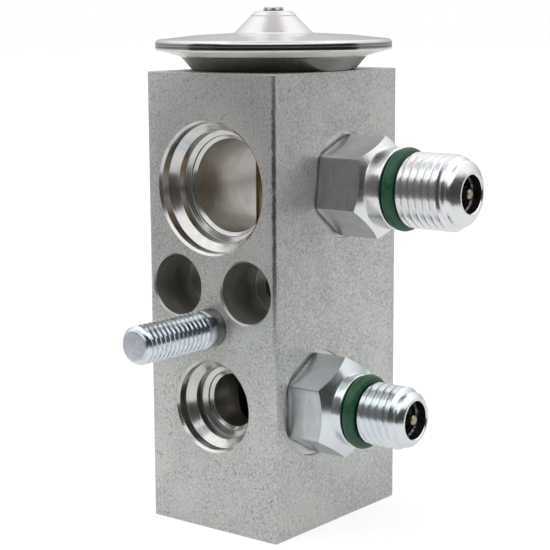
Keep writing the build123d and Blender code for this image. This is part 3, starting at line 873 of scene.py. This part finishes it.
class VALVE_OT_charge_plug(Operator):
    """Build the crimped plug that closes the head"""

    bl_idname = "valve.charge_plug"
    bl_label = "Charge plug"

    def execute(self, context):
        low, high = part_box("charge_plug")
        bottom = low.z / MM
        crown = high.z / MM
        plug = rounded(
            (0, bottom),
            (1.1, bottom),
            (1.1, crown - 0.65),
            (1.65, crown - 0.65, 0.08),
            (1.6, crown - 0.12, 0.1),
            (1.35, crown, 0.06),
            (1.0, crown - 0.06, 0.05),
            (0.8, crown - 0.3, 0.05),
            (0, crown - 0.32),
        )
        mesh = turned(plug, closed=False, steps=FINE_STEPS)
        for vert in mesh.verts:
            rise = vert.co.z / MM - crown + CRIMP_DEPTH
            if rise > 0:
                turn = CRIMPS * atan2(vert.co.y, vert.co.x)
                vert.co.z -= rise * (0.5 - 0.5 * cos(turn)) * MM
        thing = made("charge_plug_crimped", mesh, found("turned_stainless"))
        placed(thing, "valve_body", "polished_stainless", "charge_plug")
        return {"FINISHED"}


# ------------------------------------------------------------------------ service ports
PORTS = {
    "upper": {
        "hexagon": 7.6, "turn": -7.5, "collar": 6.35, "collar_end": 10.75, "gland": 4.48,
        "gland_end": 12.95, "thread": 5.9, "thread_end": 20.8, "pilot": 5.1, "nose": 23.4,
        "rim": 3.35, "nose_round": 0.9,
    },
    "lower": {
        "hexagon": 6.2, "turn": 0.0, "collar": 5.65, "collar_end": 8.6, "gland": 3.88,
        "gland_end": 10.7, "thread": 4.85, "thread_end": 16.6, "pilot": 4.25, "nose": 18.75,
        "rim": 3.4, "nose_round": 0.5,
    },
}
FLATS = 14.0
CORNER = FLATS / sqrt(3)
HEX_BACK = -0.6
BORE_EDGE = 2.93


def port_outline(port):
    """Collar, ring gland, thread, nose and stepped bore of a service fitting."""
    nose = port["nose"]
    fade = port["thread_end"] + port["thread"] - port["pilot"]
    return rounded(
        (1.6, -4.1),
        (3.9, -4.1),
        (4.5, -3.5),
        (4.5, 1.0),
        (port["collar"], 1.0),
        (port["collar"], port["collar_end"], 0.25),
        (port["gland"], port["collar_end"], 0.1),
        (port["gland"], port["gland_end"], 0.1),
        (port["thread"] - 0.6, port["gland_end"], 0.08),
        (port["thread"], port["gland_end"] + 0.6, 0.15),
        (port["thread"], port["thread_end"], 0.15),
        (port["pilot"], fade, 0.12),
        (port["pilot"], fade + 0.8, port["nose_round"]),
        (port["rim"], nose, 0.15),
        (3.05, nose, 0.12),
        (2.9, nose - 0.2, 0.1),
        (2.9, nose - 1.6),
        (2.65, nose - 1.85),
        (2.65, nose - 6.2),
        (2.2, nose - 6.65),
        (2.2, nose - 15.2),
        (1.6, nose - 15.8),
    )


def hexagon_outline(port):
    """Blank of the hexagon with its front corners turned to a 30 degree cone."""
    flat_end = port["hexagon"]
    slope = tan(radians(30))
    corner_end = flat_end - (CORNER - FLATS / 2) * slope
    cone_end = flat_end + (FLATS / 2 - port["collar"]) * slope
    return [
        (0, HEX_BACK), (6.55, HEX_BACK), (6.55, HEX_BACK + 0.22),
        (CORNER - 0.3, HEX_BACK + 0.22), (CORNER + 0.01, HEX_BACK + 0.4),
        (CORNER + 0.01, corner_end), (port["collar"] - 0.4, cone_end + 0.4 * slope),
        (0, cone_end + 0.4 * slope),
    ]


class VALVE_OT_service_ports(Operator):
    """Build the two service fittings with their hexagons, threads and noses"""

    bl_idname = "valve.service_ports"
    bl_label = "Service ports"

    def execute(self, context):
        finish = found("plated_fitting")
        flats = found("brushed_flats")
        for name, port in PORTS.items():
            place = out_of_side(*middle(f"{name}_port_ring").yz)
            blank = turned(hexagon_outline(port), place, closed=False)
            fitting = made(f"{name}_fitting", blank, finish)
            prism = hexagon(
                FLATS, HEX_BACK - 1, port["nose"], sizes().hexagon_round, port["turn"], place)
            combined(fitting, [made("prism", prism, flats)], "INTERSECT")
            mesh = turned(port_outline(port), place)
            for face in mesh.faces:
                if (place.inverted() @ face.calc_center_median()).xy.length < BORE_EDGE * MM:
                    face.material_index = 1
            barrel = made("barrel", mesh, finish, found("worn_bore"))
            pitch = sizes().port_pitch / MM
            bore = [(0, -5), (1.6, -5), (1.6, 2), (0, 2)]
            drill = made("drill", turned(bore, place, closed=False), finish)
            groove = thread_cutter(
                2 * port["thread"], pitch, port["gland_end"] - pitch, port["thread_end"] + pitch,
                0.0, place)
            combined(barrel, [made("groove", groove, finish)], "DIFFERENCE")
            combined(fitting, [barrel], "UNION")
            combined(fitting, [drill], "DIFFERENCE")
            placed(fitting, "valve_body", "bright_fitting", f"{name}_port_body")
        return {"FINISHED"}


class VALVE_OT_port_rings(Operator):
    """Build the green rings behind the service threads"""

    bl_idname = "valve.port_rings"
    bl_label = "Port rings"

    def execute(self, context):
        for name in PORTS:
            low, high = box(f"{name}_port_ring")
            cord = (high.x - low.x) / 2
            centre = (high + low) / 2
            mesh = bmesh.new()
            across = (high.y - low.y) / 2 - cord
            bmesh.ops.create_circle(
                mesh, segments=FINE_STEPS, radius=cord * MM,
                matrix=Matrix.Translation((across * MM, 0, 0)) @ Matrix.Rotation(pi / 2, 4, "X"))
            bmesh.ops.spin(
                mesh, geom=mesh.verts[:] + mesh.edges[:], axis=(0, 0, 1), angle=2 * pi,
                steps=ROUND_STEPS, use_merge=True)
            place = out_of_side(centre.y, centre.z) @ Matrix.Translation(
                (0, 0, (centre.x - SIDE) * MM))
            ring = made(f"{name}_green_ring", settled(mesh, place), found("ring_rubber"))
            placed(ring, "valve_body", "green_rubber", f"{name}_port_ring")
        return {"FINISHED"}


# ---------------------------------------------------------------------- rod and springs
SOCKET_RADIUS = 1.22
SOCKET_DEPTH = 2.5
MAIN_SPRING_WIRE = 1.1
MAIN_SPRING_TURNS = 4.5
CORE_SPRING_WIRE = 0.4
CORE_SPRING_TURNS = 4.5


class VALVE_OT_rod(Operator):
    """Build the sensing rod that crosses the suction passage"""

    bl_idname = "valve.rod"
    bl_label = "Sensing rod"

    def execute(self, context):
        low, high = box("sensing_rod")
        radius = (high.x - low.x) / 2
        outline = rounded(
            (0, low.z + SOCKET_DEPTH), (SOCKET_RADIUS, low.z + SOCKET_DEPTH),
            (SOCKET_RADIUS, low.z), (radius, low.z, 0.4), (radius, high.z, 0.1), (0, high.z))
        mesh = turned(outline, closed=False)
        rod = made("sensing_rod_turned", mesh, found("turned_brass"))
        placed(rod, "lift", "rod_brass", "sensing_rod")
        return {"FINISHED"}


class VALVE_OT_springs(Operator):
    """Build the three springs"""

    bl_idname = "valve.springs"
    bl_label = "Springs"

    def execute(self, context):
        self.main_spring()
        for port in ("upper", "lower"):
            self.core_spring(port)
        return {"FINISHED"}

    def main_spring(self):
        """The superheat spring in two halves."""
        low, high = box("main_spring")
        wire = MAIN_SPRING_WIRE
        mean = high.x - low.x - wire
        centre = (low.z + high.z) / 2
        halves = (
            ("upper", centre, high.z - wire / 2, MAIN_SPRING_TURNS / 2, "lift",
             centre + wire / 2, high.z),
            ("lower", low.z + wire / 2, centre, 0.0, "adjuster_seat",
             centre - wire / 2, low.z))
        for half, bottom, top, start, body, still, moving in halves:
            mesh = coil(mean, wire, MAIN_SPRING_TURNS / 2, bottom, top, start)
            spring = made("main_spring_" + half, mesh, found("spring_wire"))
            stretched(
                spring, "spring_steel", "main_spring")

    def core_spring(self, port):
        """Spring between the bottom of a valve core's barrel and its pin's collar."""
        node = port + "_core_spring"
        low, high = box(node)
        wire = CORE_SPRING_WIRE
        centre = (low + high) / 2
        mesh = coil(
            high.y - low.y - wire, wire, CORE_SPRING_TURNS, low.x - SIDE + wire / 2,
            high.x - SIDE - wire / 2, place=out_of_side(centre.y, centre.z))
        spring = made(node + "_wound", mesh, found("spring_wire"))
        stretched(
            spring, "spring_steel", node)


class VALVE_OT_inner_finishes(Operator):
    """Give every carried-over solid its finish"""

    bl_idname = "valve.inner_finishes"
    bl_label = "Inner parts"

    def execute(self, context):
        finishes = {
            "turned_brass": ("seal_washer", "adjusting_screw"),
            "worn_brass": ("upper_core_pin", "lower_core_pin"),
            # The dark brass on the core shells is painted shade.
            "aged_brass": ("upper_core_shell", "lower_core_shell"),
            "turned_stainless": (
                "head_collar", "diaphragm", "thrust_disc", "push_pin", "valve_ball",
                "ball_carrier"),
            "seal_rubber": (
                "head_ring", "rod_seal", "adjuster_seal", "upper_base_ring",
                "lower_base_ring", "upper_core_seal", "lower_core_seal"),
            "pale_gasket": ("upper_core_gasket", "lower_core_gasket"),
        }
        for name, nodes in finishes.items():
            material = found(name)
            for node in nodes:
                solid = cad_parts[node].data
                solid.materials.clear()
                solid.materials.append(material)
        return {"FINISHED"}


# -------------------------------------------------------------------------------- stage
CAMERA_PLACE = Vector((158.689, -200.423, 82.192)) * MM
CAMERA_AZIMUTH = radians(38.368)
CAMERA_ELEVATION = radians(9.577)
CAMERA_ROLL = radians(-0.310)
CAMERA_LENS = 103.575
CAMERA_SENSOR = 36.0
WING_START = radians(-50)
SCREEN_START = radians(-18)
SCREEN_END = radians(125)
SCREEN_REACH = 0.5
ROOM_TOP = 0.32
WING_TOP = 0.42
TABLE_EDGE = 0.16
CANOPY_HEIGHT = 0.6
CANOPY_RADIUS = 0.17
SKY_SPAN = (0.0, 0.75)
HORIZON_LIGHT = 0.42
ZENITH_LIGHT = 1.2
FLOOR_RADIUS = 3.0
FLOOR_GLARE = 0.45
FLOOR_GLOW = 0.8
LAMP_PLACE = (-0.2, -0.3, 0.9)
LAMP_AIM = Vector((0, 0, 0.04))
LAMP_SIZE = 0.8
LAMP_POWER = 3.0


def camera():
    """Camera with its view given by its azimuth, its fall below level and its roll."""
    ahead = Vector((
        -sin(CAMERA_AZIMUTH) * cos(CAMERA_ELEVATION),
        cos(CAMERA_AZIMUTH) * cos(CAMERA_ELEVATION),
        -sin(CAMERA_ELEVATION)))
    right = ahead.cross(Vector((0, 0, 1))).normalized()
    up = right.cross(ahead)
    turn = Matrix.Rotation(-CAMERA_ROLL, 3, ahead)
    right, up = turn @ right, turn @ up
    data = bpy.data.cameras.new("camera")
    data.lens = CAMERA_LENS
    data.sensor_width = CAMERA_SENSOR
    data.clip_start = 0.01
    thing = bpy.data.objects.new("camera", data)
    thing.matrix_world = Matrix.Translation(CAMERA_PLACE) @ Matrix(
        (right, up, -ahead)).transposed().to_4x4()
    bpy.context.scene.collection.objects.link(thing)
    bpy.context.scene.camera = thing


def lamp():
    """Square soft lamp that looks at the middle of the valve and isn't mirrored in it."""
    data = bpy.data.lights.new("key_lamp", "AREA")
    data.size = LAMP_SIZE
    data.energy = LAMP_POWER
    thing = bpy.data.objects.new("key_lamp", data)
    thing.location = LAMP_PLACE
    thing.visible_glossy = False
    aim = LAMP_AIM - Vector(LAMP_PLACE)
    thing.rotation_euler = aim.to_track_quat("-Z", "Y").to_euler()
    bpy.context.scene.collection.objects.link(thing)


def white_world():
    """White world, brighter overhead than at the horizon, that the camera sees as plain white."""
    world = bpy.data.worlds.new("studio")
    world.use_nodes = True
    tree = world.node_tree
    parts = added(tree, "SeparateXYZ", added(tree, "TexCoord").outputs["Generated"])
    rise = added(
        tree, "MapRange", parts.outputs["Z"], *SKY_SPAN, HORIZON_LIGHT, ZENITH_LIGHT)
    seen = added(tree, "LightPath").outputs["Is Camera Ray"]
    plain = added(tree, "Math", rise.outputs["Result"], seen)
    plain.operation = "MAXIMUM"
    shade = tree.nodes["Background"]
    tree.links.new(plain.outputs[0], shade.inputs["Strength"])
    shade.inputs["Color"].default_value = (1, 1, 1, 1)
    bpy.context.scene.world = world


def floor_material():
    """Pale floor, white to the camera and greyer to metal, with a soft shadow left on it."""
    material = bpy.data.materials.new("pale_floor")
    material.use_nodes = True
    tree = material.node_tree
    tree.nodes.clear()
    paths = added(tree, "LightPath").outputs
    seen = added(tree, "Math", paths["Is Camera Ray"], paths["Is Glossy Ray"])
    seen.operation = "MAXIMUM"
    matt = added(tree, "BsdfDiffuse", (*colours().floor, 1))
    faint = added(tree, "BsdfDiffuse", (0.25, 0.25, 0.25, 1))
    glare = added(
        tree, "MapRange", paths["Is Camera Ray"], 0.0, 1.0, FLOOR_GLARE, FLOOR_GLOW)
    glow = added(tree, "Emission", (1, 1, 1, 1), glare.outputs["Result"])
    both = added(tree, "AddShader", faint.outputs[0], glow.outputs[0])
    mix = added(tree, "MixShader", seen.outputs[0], matt.outputs[0], both.outputs[0])
    added(tree, "OutputMaterial", mix.outputs[0])
    return material


def dark_material(shade):
    """Matt material of that shade, faintly warm."""
    material = bpy.data.materials.new("dark_screen")
    material.use_nodes = True
    shader = material.node_tree.nodes["Principled BSDF"]
    shader.inputs["Base Color"].default_value = (shade, 0.92 * shade, 0.9 * shade, 1)
    shader.inputs["Roughness"].default_value = 0.9
    return material


def seen_in_shine(thing):
    """The object, seen by shiny surfaces only and casting no shadow."""
    thing.visible_camera = False
    thing.visible_diffuse = False
    thing.visible_shadow = False
    return thing


def disc(radius, height=0.0):
    """Flat round sheet that lies level at a height."""
    mesh = bmesh.new()
    bmesh.ops.create_circle(
        mesh, cap_ends=True, segments=DISC_STEPS, radius=radius,
        matrix=Matrix.Translation((0, 0, height)))
    return mesh


def screen(name, start, end, top, shade):
    """Dark sheet swept round the valve, which only shiny surfaces see."""
    corners = ((TABLE_EDGE, 0.0005), (SCREEN_REACH, 0.0005), (SCREEN_REACH, top))
    mesh = bmesh.new()
    way = Vector((sin(start), -cos(start), 0))
    line = [mesh.verts.new(way * reach + Vector((0, 0, height))) for reach, height in corners]
    edges = [mesh.edges.new(pair) for pair in zip(line, line[1:])]
    bmesh.ops.spin(
        mesh, geom=line + edges, axis=(0, 0, 1), angle=end - start, steps=FINE_STEPS)
    return seen_in_shine(made(name, mesh, dark_material(shade)))


class VALVE_OT_stage(Operator):
    """Set the floor, the screens that metal mirrors, the light and the camera"""

    bl_idname = "valve.stage"
    bl_label = "Stage"

    def execute(self, context):
        floor = made("floor", disc(FLOOR_RADIUS), floor_material())
        room = screen("dark_room", SCREEN_START, SCREEN_END, ROOM_TOP, 0.03)
        wing = screen("grey_room", WING_START, SCREEN_START, WING_TOP, 0.1)
        sheet = disc(CANOPY_RADIUS, CANOPY_HEIGHT)
        canopy = seen_in_shine(made("grey_canopy", sheet, dark_material(0.6)))
        white_world()
        lamp()
        camera()
        context.scene.view_settings.view_transform = "Standard"
        return {"FINISHED"}


# -------------------------------------------------------------------------------- panel
STEPS = (
    VALVE_OT_block, VALVE_OT_stud, VALVE_OT_head, VALVE_OT_charge_plug,
    VALVE_OT_service_ports, VALVE_OT_port_rings, VALVE_OT_rod, VALVE_OT_springs,
    VALVE_OT_inner_finishes, VALVE_OT_stage,
)


class VALVE_PT_build(Panel):
    """Buttons for every group of pieces, with the sizes and colours above them"""

    bl_label = "Expansion valve"
    bl_idname = "VALVE_PT_build"
    bl_space_type = "VIEW_3D"
    bl_region_type = "UI"
    bl_category = "Valve"

    def draw(self, context):
        for group in (sizes(), colours()):
            for name in group.__annotations__:
                self.layout.prop(group, name)
        for step in STEPS:
            self.layout.operator(step.bl_idname)


CLASSES = (ValveSizes, ValveColours, *STEPS, VALVE_PT_build)


def register():
    for item in CLASSES:
        bpy.utils.register_class(item)
    bpy.types.Scene.valve_sizes = PointerProperty(type=ValveSizes)
    bpy.types.Scene.valve_colours = PointerProperty(type=ValveColours)


def unregister():
    del bpy.types.Scene.valve_colours
    del bpy.types.Scene.valve_sizes
    for item in reversed(CLASSES):
        bpy.utils.unregister_class(item)


def main():
    """Builds the whole scene."""
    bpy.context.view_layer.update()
    register()
    for step in STEPS:
        group, name = step.bl_idname.split(".")
        getattr(getattr(bpy.ops, group), name)()


if __name__ == "__main__":
    main()
